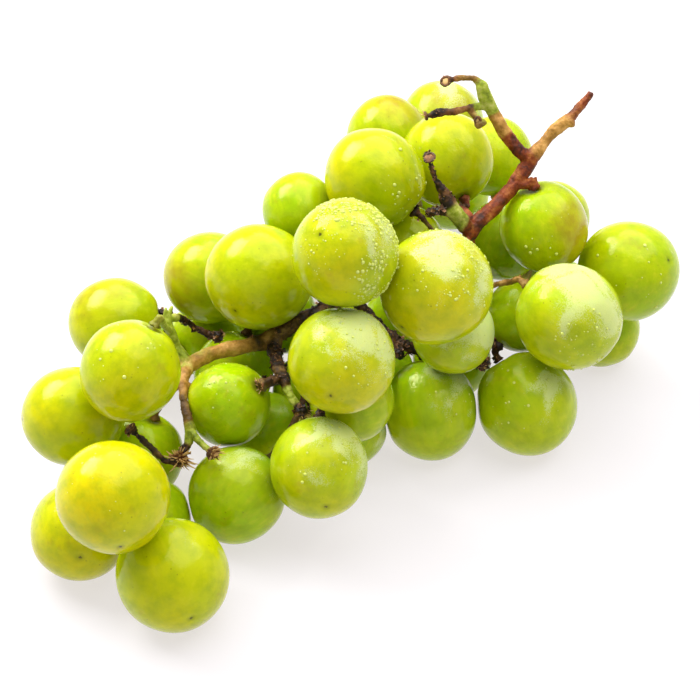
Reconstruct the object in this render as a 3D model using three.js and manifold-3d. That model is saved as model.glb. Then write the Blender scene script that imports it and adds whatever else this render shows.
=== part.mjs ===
// A bunch of green table grapes, lying on its side on a flat surface: one woody stem with all its
// side branches and stalks, and the berries that hang on it, each a solid of its own.
//
// Millimetres, +Z up. The bunch lies along X with the cut end of its stem towards +X, and the origin
// is under the middle of the bunch, on the surface that it lies on.

import * as THREE from "three";
import { mergeVertices } from "three/addons/utils/BufferGeometryUtils.js";
import Module from "manifold-3d";

const wasm = await Module();
wasm.setup();

// The bunch was measured in one square picture of it. A place there, in pixels, and a depth give a
// place in space. Depths are in millimetres behind the plane that stands square to the view at AIM.
const PICTURE_MIDDLE = 350;
const PIXELS_PER_MM = 4.43; // at the plane through AIM, from berries that are 22 mm across
const VIEW_ELEVATION = THREE.MathUtils.degToRad(40);
const VIEW_TURN = THREE.MathUtils.degToRad(-45); // turns the bunch's length to lie along X
const VIEW_DISTANCE = 600;
const AIM = new THREE.Vector3(0, 0, 30);

// Berries
const PRESS = 0.6; // how far two berries press into each other's round shape where they touch
const BERRY_GAP = 0.2; // left between the faces of two berries
const SINK = 0.7; // how far a berry that carries the bunch is flattened by the surface under it
const LENGTH_RATIO = 1.05; // a berry's length from stalk to tip, over its width
const DIMPLE_DEPTH = 0.7;
const DIMPLE_SPREAD = 0.3; // radians round the stalk
const FACES = { shown: [14, 9], loose: [11, 7] }; // round a berry, and along it

// Stem
const STEM_GAP = 0.3; // left between the stem and a berry's skin
const STALK_THICKNESS = 1.3; // of a stalk that carries one berry
const THICKENING = 0.38; // power of the number of berries that a branch carries
const THICKEST_SIDE_BRANCH = 2.6;
const CUSHION_WIDTH = 3.3; // the swollen end of a stalk, which sits in the berry's dimple
const CUSHION_LENGTH = 2.2;
const BARE_CUSHION_WIDTH = 2.8; // one whose berry has gone

const WOODY = { color: 0x6e4021, roughness: 0.75, metalness: 0 };
const RIPE_SKIN = { color: 0xa9bf35, roughness: 0.35, metalness: 0 };

// ON_TABLE stands for the depth of a berry that touches the surface.
const ON_TABLE = null;

// Each berry: its middle in the picture, its real width, its depth, and, where it shows, the place
// in the picture where its stalk joins it.
const BERRIES = [
  // the tip of the bunch
  { seen: [172, 575], across: 24.4, depth: ON_TABLE },
  { seen: [81, 531], across: 21.5, depth: ON_TABLE },
  { seen: [113, 497], across: 23.9, depth: -43 },
  { seen: [74, 416], across: 22.2, depth: -9 },
  { seen: [130, 370], across: 21.7, depth: -24, stalk: [152, 328] },
  { seen: [116, 323], across: 20.8, depth: 15, stalk: [160, 311] },
  { seen: [140, 456], across: 19.9, depth: ON_TABLE },
  { seen: [172, 485], across: 15.6, depth: ON_TABLE, loose: true },
  // the lower side, towards the viewer
  { seen: [235, 495], across: 21.8, depth: ON_TABLE },
  { seen: [228, 404], across: 18.6, depth: -3 },
  { seen: [252, 420], across: 18, depth: ON_TABLE, loose: true },
  { seen: [235, 372], across: 18.9, depth: 26 },
  { seen: [319, 467], across: 21.6, depth: -17, tip: [325, 504] },
  { seen: [342, 360], across: 23.2, depth: -21, tip: [330, 395] },
  { seen: [352, 400], across: 18.9, depth: -1 },
  { seen: [368, 425], across: 16.6, depth: ON_TABLE, loose: true },
  { seen: [432, 408], across: 19.8, depth: ON_TABLE, lengthRatio: 1.24, stalk: [436, 358] },
  { seen: [478, 382], across: 18.2, depth: ON_TABLE, loose: true },
  { seen: [525, 404], across: 23.1, depth: ON_TABLE, stalk: [507, 355] },
  // the ridge
  { seen: [345, 256], across: 23.2, depth: -11, tip: [320, 235] },
  { seen: [260, 277], across: 24, depth: 3, tip: [224, 288] },
  { seen: [434, 289], across: 25, depth: 2, tip: [403, 326] },
  { seen: [375, 179], across: 22.8, depth: 13, stalk: [421, 207] },
  { seen: [446, 161], across: 21.8, depth: 30, stalk: [459, 203] },
  { seen: [450, 333], across: 18.7, depth: 22 },
  { seen: [405, 245], across: 18.8, depth: 25 },
  // the far side
  { seen: [211, 278], across: 21.6, depth: 23 },
  { seen: [205, 348], across: 18.1, depth: ON_TABLE, loose: true },
  { seen: [299, 211], across: 17.3, depth: 20 },
  { seen: [388, 136], across: 19.6, depth: 36 },
  { seen: [442, 124], across: 20.9, depth: 61 },
  { seen: [494, 157], across: 19, depth: 47 },
  // the shoulder, by the cut end of the stem
  { seen: [543, 227], across: 20.5, depth: 19, stalk: [541, 185] },
  { seen: [553, 219], across: 18.6, depth: 41 },
  { seen: [628, 272], across: 23.5, depth: 25 },
  { seen: [567, 317], across: 23.8, depth: 8, stalk: [524, 287] },
  { seen: [599, 326], across: 18.8, depth: ON_TABLE, loose: true },
  { seen: [520, 316], across: 16.9, depth: 25 },
  { seen: [503, 240], across: 19.1, depth: 36 },
  // out of sight, under and behind the others, where they carry the bunch
  { seen: [255, 300], across: 19, depth: ON_TABLE, loose: true },
  { seen: [318, 250], across: 20, depth: ON_TABLE, loose: true },
  { seen: [385, 205], across: 20, depth: ON_TABLE, loose: true },
  { seen: [445, 195], across: 19, depth: ON_TABLE, loose: true },
  { seen: [500, 240], across: 19, depth: ON_TABLE, loose: true },
  { seen: [330, 340], across: 18, depth: ON_TABLE, loose: true },
  { seen: [300, 392], across: 17, depth: ON_TABLE, loose: true },
  { seen: [393, 370], across: 16, depth: ON_TABLE, loose: true },
  { seen: [290, 325], across: 17, depth: 34, loose: true },
  { seen: [405, 315], across: 19, depth: ON_TABLE, loose: true },
  { seen: [140, 350], across: 19, depth: ON_TABLE, loose: true },
  { seen: [556, 292], across: 17, depth: ON_TABLE, loose: true },
];

// The branches that show, each a row of [across, down, depth, thickness]: two pixels, two millimetres.
// An end is left plain, or it is the cushion of a stalk whose berry has gone.
const BRANCHES = {
  mainStem: {
    path: [
      [591, 93, 12, 1.3],
      [579, 108, 12, 1.6],
      [568, 120, 12, 2.5],
      [556, 129, 12, 2.1],
      [543, 144, 12, 2.3],
      [531, 158, 12, 3.5],
      [520, 177, 12, 3.2],
      [498, 204, 11, 3.1],
      [477, 222, 9, 3.7],
      [469, 238, 9, 2.8],
      [455, 250, 14, 2.6],
      [430, 262, 16, 2.8],
      [390, 280, 15, 2.8],
      [350, 296, 11, 2.8],
      [320, 311, 9, 2.9],
      [291, 326, 8, 3.3],
      [262, 343, 6, 3],
      [242, 347, 4, 2.5],
      [219, 351, 3, 2.6],
      [198, 360, 1, 2.6],
      [186, 367, 0, 2.8],
    ],
  },
  stemKnuckle: { bare: true, path: [[566, 118, 12, 2.2], [573, 125, 11, 1.4]] },
  upperBranch: {
    path: [
      [530, 160, 12, 3],
      [518, 150, 11, 2.8],
      [503, 130, 10, 2.9],
      [492, 110, 8, 2.5],
      [484, 96, 6, 3],
      [481, 84, 5, 2.4],
    ],
  },
  upperBareStalk: {
    bare: true,
    path: [[483, 86, 5, 1.9], [473, 78, 5, 1.4], [460, 78, 4, 1.2], [449, 80, 4, 1.3]],
    cushion: true,
  },
  upperDriedStalk: {
    bare: true,
    path: [[486, 106, 7, 1.6], [470, 107, 6, 1.3], [454, 112, 5, 1.2], [438, 113, 5, 2], [425, 117, 5, 1]],
  },
  upperShortStalk: {
    bare: true,
    path: [[468, 108, 6, 1.1], [474, 115, 6, 1.2], [478, 121, 6, 1.4]],
    cushion: true,
  },
  middleBranch: {
    path: [
      [470, 232, 8, 3],
      [461, 221, 5, 3.7],
      [452, 209, 3, 3.6],
      [446, 196, 2, 3],
      [440, 187, 1, 1.9],
    ],
  },
  middleBareStalk: {
    bare: true,
    path: [[442, 190, 1, 1.5], [434, 177, 0, 1.2], [430, 166, -1, 1.1], [429, 160, -2, 1.2]],
    cushion: true,
  },
  middleDriedStalk: { path: [[453, 212, 3, 2.2], [440, 211, 2, 1.9], [428, 212, 4, 1.4]] },
  stalkOverShoulder: { path: [[513, 187, 12, 2], [527, 184, 11, 1.7], [536, 181, 12, 1.8]] },
  stalkBelowTop: { path: [[474, 224, 9, 2.6], [465, 213, 13, 2.2], [459, 207, 16, 1.8]] },
  frontBranch: {
    path: [
      [470, 238, 10, 2.4],
      [470, 262, 16, 2],
      [480, 282, 15, 1.8],
      [490, 286, 12, 1.6],
      [501, 283, 10, 1.4],
      [515, 281, 9, 1.4],
      [521, 277, 9, 1.2],
    ],
  },
  lowerFrontBranch: {
    path: [
      [470, 262, 16, 2],
      [475, 285, 26, 1.7],
      [480, 312, 32, 1.6],
      [484, 332, 28, 1.7],
      [489, 343, 20, 1.7],
      [500, 347, 13, 1.9],
    ],
  },
  lowerFrontStub: {
    bare: true,
    path: [[487, 339, 23, 1.7], [485, 351, 15, 1.8], [482, 363, 9, 2]],
    cushion: true,
  },
  hangingBranch: {
    path: [
      [274, 338, 7, 3.3],
      [275, 352, 3, 2.9],
      [278, 366, -2, 2.3],
      [283, 379, -6, 2.6],
      [291, 397, -8, 1.9],
      [300, 409, -9, 1.8],
    ],
    cushion: true,
  },
  hangingStub: {
    bare: true,
    path: [[282, 378, -6, 2], [273, 381, -8, 1.7], [266, 384, -9, 1.7]],
    cushion: true,
  },
  ridgeBranch: {
    path: [
      [352, 298, 12, 2.8],
      [366, 311, 14, 2.3],
      [383, 329, 13, 2],
      [400, 342, 12, 2.2],
      [412, 349, 12, 2.2],
      [424, 354, 12, 1.9],
    ],
  },
  ridgeStub: { bare: true, path: [[402, 343, 12, 1.9], [400, 352, 10, 1.8]], cushion: true },
  tipBranch: {
    path: [
      [187, 366, 0, 2.7],
      [184, 380, -4, 2],
      [183, 398, -8, 1.8],
      [187, 414, -10, 1.8],
      [190, 428, -11, 2.2],
      [188, 443, -12, 1.8],
      [180, 458, -12, 2],
    ],
    cushion: true,
  },
  tipSideStalk: {
    bare: true,
    path: [[190, 430, -11, 1.9], [200, 442, -14, 1.4], [211, 452, -17, 1.4]],
    cushion: true,
  },
  tipBareStalk: {
    bare: true,
    path: [[180, 460, -12, 1.6], [166, 462, -13, 1.3], [150, 447, -14, 1.3], [134, 432, -15, 1.4]],
    cushion: true,
  },
  farBranch: {
    path: [[188, 364, 0, 2.4], [177, 346, 0, 1.8], [170, 331, -2, 2.1], [166, 319, -3, 2.2]],
  },
  farDarkStalk: {
    bare: true,
    path: [[167, 319, -3, 1.8], [178, 317, 2, 1.5], [192, 325, 8, 1.4], [207, 334, 9, 1.3], [215, 336, 9, 1.5]],
    cushion: true,
  },
  farProngLeft: { bare: true, path: [[166, 318, -3, 1], [166, 308, -4, 0.7]] },
  farProngRight: { bare: true, path: [[168, 318, -3, 1], [172, 306, -3, 0.7]] },
};

// The view's own directions, in the part's frame.
const AWAY = new THREE.Vector3(0, Math.cos(VIEW_ELEVATION), -Math.sin(VIEW_ELEVATION));
const VIEW_UP = new THREE.Vector3(0, Math.sin(VIEW_ELEVATION), Math.cos(VIEW_ELEVATION));
const VIEW_RIGHT = new THREE.Vector3(1, 0, 0);
for (const direction of [AWAY, VIEW_UP, VIEW_RIGHT]) {
  direction.applyAxisAngle(new THREE.Vector3(0, 0, 1), VIEW_TURN);
}

// The point that is seen at a place in the picture, at a depth.
function pointSeen([across, down], depth) {
  const mmPerPixel = (1 + depth / VIEW_DISTANCE) / PIXELS_PER_MM;
  return AIM.clone()
    .addScaledVector(VIEW_RIGHT, (across - PICTURE_MIDDLE) * mmPerPixel)
    .addScaledVector(VIEW_UP, (PICTURE_MIDDLE - down) * mmPerPixel)
    .addScaledVector(AWAY, depth);
}

// The depth at which a line of sight comes down to a height above the surface.
function depthAtHeight(seen, height) {
  const near = pointSeen(seen, 0);
  const perDepth = pointSeen(seen, 1).sub(near);
  return (height - near.z) / perDepth.z;
}

function solidOf(geometry) {
  const bare = new THREE.BufferGeometry().setAttribute("position", geometry.getAttribute("position"));
  bare.setIndex(geometry.index);
  const merged = mergeVertices(bare, 1e-4);
  return new wasm.Manifold(
    new wasm.Mesh({
      numProp: 3,
      vertProperties: merged.getAttribute("position").array,
      triVerts: new Uint32Array(merged.index.array),
    }),
  );
}

function geometryOf(solid) {
  const mesh = solid.getMesh();
  const positions = new Float32Array(mesh.numVert * 3);
  for (let i = 0; i < mesh.numVert; i++) {
    positions.set(mesh.vertProperties.subarray(i * mesh.numProp, i * mesh.numProp + 3), i * 3);
  }
  const geometry = new THREE.BufferGeometry();
  geometry.setAttribute("position", new THREE.BufferAttribute(positions, 3));
  geometry.setIndex(new THREE.BufferAttribute(new Uint32Array(mesh.triVerts), 1));
  geometry.computeVertexNormals();
  return geometry;
}

// Berries as balls, before they settle.
function laidOut() {
  return BERRIES.map(({ seen, across, depth, lengthRatio = LENGTH_RATIO, stalk, tip, loose }) => {
    const rests = depth === ON_TABLE;
    const radius = (across / 2) * (1 + (lengthRatio - 1) / 2);
    const place = pointSeen(seen, rests ? depthAtHeight(seen, radius - SINK) : depth);
    return { place, wanted: place.clone(), radius, across, lengthRatio, rests, stalk, tip, loose };
  });
}

// Points about every millimetre along the drawn branches, which the berries keep clear of.
function branchLine({ path }) {
  return new THREE.CatmullRomCurve3(path.map(([u, v, depth]) => pointSeen([u, v], depth)));
}

function thicknessAlong({ path }, share) {
  const at = share * (path.length - 1);
  const low = Math.min(Math.floor(at), path.length - 2);
  return THREE.MathUtils.lerp(path[low][3], path[low + 1][3], at - low);
}

function beadsAlong(branch) {
  const line = branchLine(branch);
  const steps = Math.ceil(line.getLength());
  return Array.from({ length: steps + 1 }, (_, i) => ({
    place: line.getPoint(i / steps),
    radius: thicknessAlong(branch, i / steps) / 2,
  }));
}

// Lets the berries push each other, the branches and the surface clear. One that shows gives way
// mostly along the line of sight, so that it stays where it is seen, and one that rests on the
// surface slides on it. A loose one, which hardly shows, moves aside for the others.
function settle(berries, beads) {
  const ROUNDS = 600;
  const HELD_ROUNDS = 450; // in the last rounds nothing pulls a berry back to its place
  const SIDEWAYS = 0.06; // how readily a shown berry moves across the view, against along it
  const PULL = 0.08;
  const given = (berry, way) => {
    if (berry.loose) return new THREE.Vector3(way.x, way.y, berry.rests ? 0 : way.z);
    const along = AWAY.clone().multiplyScalar(berry.rests ? 0 : way.dot(AWAY));
    const give = way.clone().sub(along).multiplyScalar(SIDEWAYS).add(along);
    if (berry.rests) give.z = 0;
    return give;
  };
  const part = (one, other, reach) => {
    const way = other.place.clone().sub(one.place);
    const overlap = reach - way.length();
    if (overlap <= 0) return;
    way.normalize();
    const first = given(one, way);
    const second = other.across ? given(other, way) : new THREE.Vector3();
    const scale = overlap / Math.max(first.dot(way) + second.dot(way), 0.02);
    one.place.addScaledVector(first, -scale);
    other.place.addScaledVector(second, scale);
  };
  for (let round = 0; round < ROUNDS; round++) {
    for (const berry of round < HELD_ROUNDS ? berries : []) {
      const back = berry.wanted.clone().sub(berry.place);
      if (!berry.rests) back.addScaledVector(AWAY, -back.dot(AWAY));
      berry.place.addScaledVector(back, berry.loose ? PULL / 8 : PULL);
    }
    berries.forEach((one, i) => {
      for (const other of berries.slice(i + 1)) part(one, other, one.radius + other.radius - PRESS);
      for (const bead of beads) part(one, bead, one.radius + bead.radius + STEM_GAP);
      const height = one.radius - SINK;
      if (one.rests || one.place.z < height) one.place.z = height;
    });
  }
}

const berries = laidOut();
const beads = Object.values(BRANCHES).flatMap(beadsAlong);
settle(berries, beads);

const EYE = AIM.clone().addScaledVector(AWAY, -VIEW_DISTANCE);

// Whether nothing but air is between the eye and a place.
function isSeen(place) {
  const far = place.distanceTo(EYE);
  const sight = place.clone().sub(EYE).normalize();
  return !berries.some((berry) => {
    const along = berry.place.dot(sight) - EYE.dot(sight);
    return along < far && berry.place.distanceToSquared(EYE) - along * along < (berry.radius * 0.97) ** 2;
  });
}

// The way from a berry's middle to the place on its skin that is seen at a place in the picture.
function wayToSeen(berry, seen) {
  const near = pointSeen(seen, 0);
  const sight = pointSeen(seen, 1).sub(near).normalize();
  const toMiddle = berry.place.clone().sub(near);
  const along = toMiddle.dot(sight);
  const aside = toMiddle.lengthSq() - along * along;
  const half = Math.sqrt(Math.max(0, berry.radius ** 2 - aside));
  return near.addScaledVector(sight, along - half).sub(berry.place).normalize();
}

// A block of small cells round the bunch, through which the stalks that don't show find their way.
const CELL = 1.5;
const LOWEST_STALK = 2;
const SEEN_COST = 12; // a way through cells that show costs this many times more
const SHARED_COST = 0.5; // and one along a stalk that is already there costs less
const span = new THREE.Box3().setFromPoints(berries.map(({ place }) => place)).expandByScalar(10);
span.min.z = LOWEST_STALK;
const cells = span.getSize(new THREE.Vector3()).divideScalar(CELL).ceil();
const cellCount = cells.x * cells.y * cells.z;

function middleOf(cell) {
  const x = cell % cells.x;
  const y = Math.floor(cell / cells.x) % cells.y;
  const z = Math.floor(cell / (cells.x * cells.y));
  return new THREE.Vector3(x, y, z).multiplyScalar(CELL).add(span.min);
}

function cellAt(place) {
  const step = place.clone().sub(span.min).divideScalar(CELL).round().clamp(new THREE.Vector3(), cells.clone().subScalar(1));
  return step.x + cells.x * (step.y + cells.y * step.z);
}

const clearance = STALK_THICKNESS / 2 + STEM_GAP;
const costIn = new Float32Array(cellCount);
for (let cell = 0; cell < cellCount; cell++) {
  const place = middleOf(cell);
  const open = berries.every((berry) => place.distanceTo(berry.place) > berry.radius + clearance);
  costIn[cell] = open ? (isSeen(place) ? SEEN_COST : 1) : Infinity;
}

const costTo = new Float32Array(cellCount).fill(Infinity);
const cellBefore = new Int32Array(cellCount).fill(-1);

// Spreads outward from cells whose cost is known, cheapest first.
function spread(starts) {
  const heap = [];
  const push = (cell, cost) => {
    let at = heap.push([cost, cell]) - 1;
    while (at > 0 && heap[(at - 1) >> 1][0] > heap[at][0]) {
      const up = (at - 1) >> 1;
      [heap[at], heap[up]] = [heap[up], heap[at]];
      at = up;
    }
  };
  const pop = () => {
    const top = heap[0];
    const last = heap.pop();
    if (heap.length === 0) return top;
    heap[0] = last;
    for (let at = 0; ; ) {
      let least = at;
      for (const down of [2 * at + 1, 2 * at + 2]) {
        if (down < heap.length && heap[down][0] < heap[least][0]) least = down;
      }
      if (least === at) return top;
      [heap[at], heap[least]] = [heap[least], heap[at]];
      at = least;
    }
  };
  for (const cell of starts) push(cell, costTo[cell]);
  while (heap.length > 0) {
    const [cost, cell] = pop();
    if (cost > costTo[cell]) continue;
    const x = cell % cells.x;
    const y = Math.floor(cell / cells.x) % cells.y;
    const z = Math.floor(cell / (cells.x * cells.y));
    for (let dz = -1; dz <= 1; dz++) {
      for (let dy = -1; dy <= 1; dy++) {
        for (let dx = -1; dx <= 1; dx++) {
          if (x + dx < 0 || x + dx >= cells.x || y + dy < 0 || y + dy >= cells.y) continue;
          if (z + dz < 0 || z + dz >= cells.z) continue;
          const next = cell + dx + cells.x * (dy + cells.y * dz);
          const reached = cost + CELL * Math.hypot(dx, dy, dz) * costIn[next];
          if (next === cell || !(reached < costTo[next] - 1e-4)) continue;
          costTo[next] = reached;
          cellBefore[next] = cell;
          push(next, reached);
        }
      }
    }
  }
}

// Stalks may leave any branch but a bare one, and none leaves the last part of one whose berry has gone.
const NEAR_CUSHION = 7;
const rootAt = new Map();
for (const branch of Object.values(BRANCHES).filter(({ bare }) => !bare)) {
  const along = beadsAlong(branch);
  if (branch.cushion) along.splice(-NEAR_CUSHION);
  for (const bead of along) {
    const cell = cellAt(bead.place);
    if (!rootAt.has(cell)) rootAt.set(cell, bead.place);
    costTo[cell] = 0;
  }
}
spread([...rootAt.keys()]);

// Evenly spread ways.
const ways = Array.from({ length: 300 }, (_, i) => {
  const height = 1 - (2 * i + 1) / 300;
  const turn = i * Math.PI * (3 - Math.sqrt(5));
  return new THREE.Vector3(Math.cos(turn), Math.sin(turn), 0).multiplyScalar(Math.sqrt(1 - height * height)).setZ(height);
});

const NECK = 2.6; // how far a stalk stands straight out of its berry before it turns
const SEEN_STALK_COST = 60;
const neckOf = (berry, way) => berry.place.clone().addScaledVector(way, berry.radius + NECK);

// The ways in which a berry's stalk may leave it, each with what it costs if it shows.
function waysOf(berry) {
  let choice = ways;
  if (berry.stalk) {
    const shown = wayToSeen(berry, berry.stalk);
    choice = ways.filter((way) => way.dot(shown) > Math.cos(0.3));
  }
  if (berry.tip) {
    const shown = wayToSeen(berry, berry.tip);
    choice = ways.filter((way) => way.dot(shown) < -Math.cos(0.7));
  }
  return choice.map((way) => {
    const neck = neckOf(berry, way);
    return { berry, way, cell: cellAt(neck), extra: !berry.stalk && isSeen(neck) ? SEEN_STALK_COST : 0 };
  });
}

// Stalks grow one by one, the shortest first, and later ones may leave earlier ones.
const stalkCells = new Map();
let choices = berries.flatMap(waysOf);
while (choices.length > 0) {
  const cost = ({ cell, extra }) => costTo[cell] + extra;
  const { berry, way, cell: neckCell } = choices.reduce((least, one) => (cost(one) < cost(least) ? one : least));
  choices = choices.filter((choice) => choice.berry !== berry);
  if (costTo[neckCell] === Infinity) throw new Error("a berry is shut in by others");
  Object.assign(berry, { stalkWay: way, neckCell });
  const trail = [];
  for (let cell = neckCell; cell !== -1; cell = cellBefore[cell]) trail.unshift(cell);
  const steps = trail.map((cell, i) => (i === 0 ? 0 : costTo[cell] - costTo[trail[i - 1]]));
  const added = trail.filter((cell) => !stalkCells.has(cell));
  trail.forEach((cell, i) => {
    if (!stalkCells.has(cell)) {
      stalkCells.set(cell, { berries: 0, place: rootAt.get(cell) ?? middleOf(cell) });
      if (i > 0) costTo[cell] = costTo[trail[i - 1]] + SHARED_COST * steps[i];
    }
    stalkCells.get(cell).berries += 1;
  });
  spread(added);
}

const UP_Y = new THREE.Vector3(0, 1, 0);

// How far a berry's skin is from its middle, at an angle from its stalk.
function skinReach(berry, angle) {
  const halfWidth = berry.across / 2;
  const halfLength = halfWidth * berry.lengthRatio;
  const oval = (halfWidth * halfLength) / Math.hypot(halfWidth * Math.cos(angle), halfLength * Math.sin(angle));
  return oval - DIMPLE_DEPTH * Math.exp(-((angle / DIMPLE_SPREAD) ** 2));
}

// A berry is an oval with a dimple for its stalk, pressed flat where it meets another berry and,
// if it carries the bunch, where it rests on the surface.
function berrySolid(berry, grow = 0) {
  const walls = berries
    .filter((other) => other !== berry)
    .map((other) => {
      const way = other.place.clone().sub(berry.place);
      const share = berry.radius / (berry.radius + other.radius);
      return { reach: way.length() * share - BERRY_GAP / 2, way: way.normalize() };
    });
  const ball = new THREE.SphereGeometry(1, ...(berry.loose ? FACES.loose : FACES.shown));
  const turn = new THREE.Quaternion().setFromUnitVectors(UP_Y, berry.stalkWay);
  const positions = ball.getAttribute("position");
  const way = new THREE.Vector3();
  for (let i = 0; i < positions.count; i++) {
    way.fromBufferAttribute(positions, i);
    const angle = Math.acos(THREE.MathUtils.clamp(way.y, -1, 1));
    way.applyQuaternion(turn);
    let reach = skinReach(berry, angle);
    for (const wall of walls) {
      const facing = way.dot(wall.way);
      if (facing > 0) reach = Math.min(reach, wall.reach / facing);
    }
    way.multiplyScalar(reach + grow).add(berry.place);
    positions.setXYZ(i, way.x, way.y, way.z);
  }
  const solid = solidOf(ball);
  return berry.rests ? solid.trimByPlane([0, 0, 1], 0) : solid;
}

// The cells of the stalks become a tree of knots, drawn smooth between its fixed ends.
const knots = new Map();
for (const [cell, { berries: carried, place }] of stalkCells) {
  const thickness = Math.min(STALK_THICKNESS * carried ** THICKENING, THICKEST_SIDE_BRANCH);
  knots.set(cell, { place: place.clone(), radius: thickness / 2, rooted: rootAt.has(cell), next: [] });
}
for (const [cell, knot] of knots) {
  if (knot.rooted || cellBefore[cell] === -1) continue;
  knot.before = knots.get(cellBefore[cell]);
  knot.before.next.push(knot);
}
const necks = berries.map((berry) => {
  const neck = { place: neckOf(berry, berry.stalkWay), radius: STALK_THICKNESS / 2, next: [], berry };
  neck.before = knots.get(berry.neckCell);
  neck.before.next.push(neck);
  return neck;
});

const SMOOTHINGS = 60;
for (let round = 0; round < SMOOTHINGS; round++) {
  for (const knot of knots.values()) {
    if (knot.rooted) continue;
    const beyond = new THREE.Vector3();
    for (const next of knot.next) beyond.addScaledVector(next.place, 1 / knot.next.length);
    knot.place.lerp(beyond.add(knot.before.place).multiplyScalar(0.5), 0.6);
    for (const berry of berries) {
      const away = knot.place.clone().sub(berry.place);
      const room = berry.radius + knot.radius + 2 * STEM_GAP;
      if (away.length() < room) knot.place.copy(berry.place).addScaledVector(away.normalize(), room);
    }
    knot.place.z = Math.max(knot.place.z, LOWEST_STALK);
  }
}

// A round rod that follows points and changes its thickness along them.
const MM_PER_RING = 5;
function rodSolid(points, radii) {
  const sides = radii.length > 12 ? 8 : Math.max(...radii) > 1.25 && radii.at(-1) < 1.6 ? 6 : 5;
  const line = new THREE.CatmullRomCurve3(points);
  const rings = Math.max(points.length - 1, Math.ceil(line.getLength() / MM_PER_RING));
  const rod = new THREE.CylinderGeometry(1, 1, 1, sides, rings);
  const positions = rod.getAttribute("position");
  const frames = Array.from({ length: rings + 1 }, (_, ring) => {
    const share = ring / rings;
    const at = share * (radii.length - 1);
    const low = Math.min(Math.floor(at), radii.length - 2);
    return {
      place: line.getPoint(share),
      ahead: line.getTangent(share),
      radius: THREE.MathUtils.lerp(radii[low], radii[low + 1], at - low),
    };
  });
  const across = new THREE.Vector3(0.3, 0.5, 0.8).cross(frames[0].ahead).normalize();
  for (const frame of frames) {
    across.addScaledVector(frame.ahead, -across.dot(frame.ahead)).normalize();
    frame.across = across.clone();
    frame.over = frame.ahead.clone().cross(across);
  }
  for (let i = 0; i < positions.count; i++) {
    const { place, across: one, over, radius } = frames[Math.round((positions.getY(i) + 0.5) * rings)];
    const point = place
      .clone()
      .addScaledVector(one, positions.getX(i) * radius)
      .addScaledVector(over, -positions.getZ(i) * radius);
    positions.setXYZ(i, point.x, point.y, point.z);
  }
  return solidOf(rod);
}

const pieces = [];
for (const branch of Object.values(BRANCHES)) {
  const points = branch.path.map(([u, v, depth]) => pointSeen([u, v], depth));
  const radii = branch.path.map((row) => row[3] / 2);
  pieces.push(rodSolid(points, radii));
  if (!branch.cushion) continue;
  const ahead = points.at(-1).clone().sub(points.at(-2)).normalize();
  const along = [-0.6, 0.5, 1.4].map((step) => points.at(-1).clone().addScaledVector(ahead, step));
  pieces.push(rodSolid(along, [radii.at(-1) * 0.8, BARE_CUSHION_WIDTH * 0.46, BARE_CUSHION_WIDTH * 0.5]));
}

// Each stalk is one rod, from the branch or the thicker stalk that it leaves to its berry's dimple.
const KNOTS_PER_POINT = 3;
const heaviest = (knot) => knot.next.reduce((most, one) => (one.radius > most.radius ? one : most));
for (const fork of knots.values()) {
  const leaving = fork.rooted ? fork.next : fork.next.filter((one) => one !== heaviest(fork));
  for (const first of leaving) {
    const run = [fork, first];
    while (run.at(-1).next.length > 0) run.push(heaviest(run.at(-1)));
    const { berry, place } = run.pop();
    const kept = run.filter((_, i) => i === 0 || (run.length - i) % KNOTS_PER_POINT === 0);
    const toFoot = (step) => place.clone().addScaledVector(berry.stalkWay, -step);
    const points = [...kept.map((knot) => knot.place), toFoot(0.3), toFoot(NECK - 0.9), toFoot(NECK + 0.1)];
    const radii = [...kept.map((knot) => knot.radius), STALK_THICKNESS / 2, STALK_THICKNESS * 0.6, CUSHION_WIDTH / 2];
    radii[0] = radii[1];
    pieces.push(rodSolid(points, radii));
  }
}

let stem = wasm.Manifold.union(pieces);
for (const berry of berries) {
  if (stem.intersect(berrySolid(berry, STEM_GAP / 2)).volume() > 0) stem = stem.subtract(berrySolid(berry, STEM_GAP));
}
const bodies = stem.decompose();
if (bodies.length > 1) throw new Error("the stem is in several bodies");

const bunch = new THREE.Group();
function addPiece(name, solid, place, material) {
  const geometry = geometryOf(solid).translate(-place.x, -place.y, -place.z);
  const mesh = new THREE.Mesh(geometry, new THREE.MeshStandardMaterial(material));
  mesh.name = name;
  mesh.position.copy(place);
  bunch.add(mesh);
}
addPiece("stem", stem, pointSeen([473, 241], 9), WOODY);
berries.forEach((berry, i) => {
  addPiece(`berry_${String(i + 1).padStart(2, "0")}`, berrySolid(berry), berry.place, RIPE_SKIN);
});

// The origin goes under the middle of the bunch, on the surface.
bunch.updateMatrixWorld(true);
const extent = new THREE.Box3().setFromObject(bunch);
const middle = extent.getCenter(new THREE.Vector3()).setZ(extent.min.z);
for (const piece of bunch.children) piece.position.sub(middle);

export default bunch;
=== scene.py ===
"""A bunch of green table grapes on a pale floor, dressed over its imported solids.

The berries are grown again with smooth, pressed and dimpled skins, and the stem with bark, torn ends and
dry scales. Lengths are in millimetres until mm() turns them to Blender's metres.
"""

import math

import bmesh
import bpy
import numpy as np
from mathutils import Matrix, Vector
from mathutils.bvhtree import BVHTree


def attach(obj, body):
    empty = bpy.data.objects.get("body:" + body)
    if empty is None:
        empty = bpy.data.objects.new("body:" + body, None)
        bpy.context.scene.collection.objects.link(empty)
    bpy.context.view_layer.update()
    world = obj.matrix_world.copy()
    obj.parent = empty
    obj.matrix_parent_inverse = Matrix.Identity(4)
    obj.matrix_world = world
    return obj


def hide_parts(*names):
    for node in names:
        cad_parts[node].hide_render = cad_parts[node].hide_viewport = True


# The photograph's view
AIM = (-2.63, -10.59, 30.0)
VIEW_DISTANCE = 600
VIEW_ELEVATION = 40
VIEW_AZIMUTH = -45  # 0 looks along +Y
PIXELS_PER_MM = 4.43
PICTURE_SIZE = 700

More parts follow.
